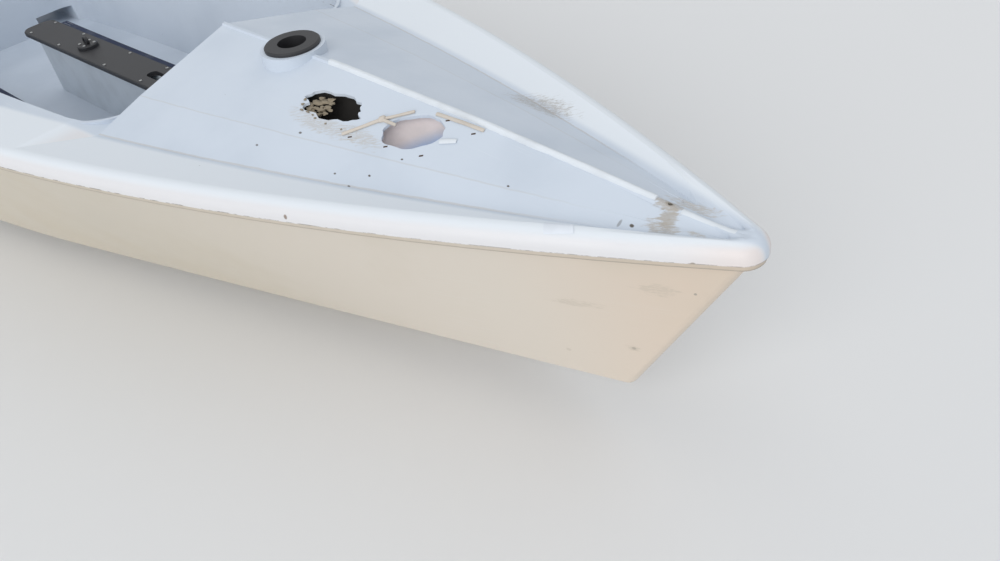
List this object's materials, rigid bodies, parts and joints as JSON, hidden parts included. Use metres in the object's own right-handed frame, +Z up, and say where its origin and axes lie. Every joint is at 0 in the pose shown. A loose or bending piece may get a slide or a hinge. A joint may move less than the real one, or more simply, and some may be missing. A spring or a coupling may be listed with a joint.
{
  "type": "sailing dinghy",
  "caption": "Moulded two-person training dinghy without its rig: roofed foredeck with torn holes, cockpit well, swinging centreboard, lifting rudder, tiller and extension.",
  "frame": {"origin": "centre of the bounding box's bottom face: on the floor under the keel plank, on the centreline", "axes": "+X to the bow, +Y to port, +Z up"},
  "size_m": [4.4402, 1.4196, 0.656],
  "materials": {
    "hull_shell": "weathered gloss",
    "deck_shell": "weathered gloss",
    "case_shell": "gloss",
    "black_plastic": "moulded",
    "foil": "gloss",
    "stainless": "brushed",
    "alloy": "anodised",
    "webbing": "woven",
    "swivel_rubber": "moulded"
  },
  "bodies": {
    "hull": {"hull": "hull_shell", "deck": "deck_shell", "mast_tube": "black_plastic", "centreboard_case": "case_shell", "case_cap": "black_plastic", "centreboard_pin": "stainless", "gudgeon_upper": "stainless", "gudgeon_lower": "stainless", "toe_strap_port": "webbing", "toe_strap_starboard": "webbing", "strap_posts": "black_plastic", "sheet_base": "black_plastic"},
    "rudder": {"rudder_stock": "alloy", "pintle_upper": "stainless", "pintle_lower": "stainless", "blade_bolt": "stainless", "tiller": "alloy"},
    "rudder_blade": {"rudder_blade": "foil"},
    "centreboard": {"centreboard": "foil"},
    "swivel": {"swivel": "swivel_rubber"},
    "extension": {"tiller_extension": "alloy"}
  },
  "joints": [
    {"name": "rudder_steering", "type": "hinge", "parent": "hull", "child": "rudder", "pos_m": [-1.442, 0, 0.43], "axis": [0, 0, 1], "range_deg": [-45, 45]},
    {"name": "rudder_blade_lift", "type": "hinge", "parent": "rudder", "child": "rudder_blade", "pos_m": [-1.6, 0, 0.235], "axis": [0, -1, 0], "range_deg": [-15, 92]},
    {"name": "centreboard_swing", "type": "hinge", "parent": "hull", "child": "centreboard", "pos_m": [0.49, 0, 0.19], "axis": [0, -1, 0], "range_deg": [0, 78]},
    {"name": "extension_swivel", "type": "hinge", "parent": "rudder", "child": "swivel", "pos_m": [-0.606, 0, 0.62], "axis": [0, 0, 1], "range_deg": [-160, 160]},
    {"name": "extension_lift", "type": "hinge", "parent": "swivel", "child": "extension", "pos_m": [-0.606, 0, 0.645], "axis": [0, 1, 0], "range_deg": [0, 150]}
  ]
}
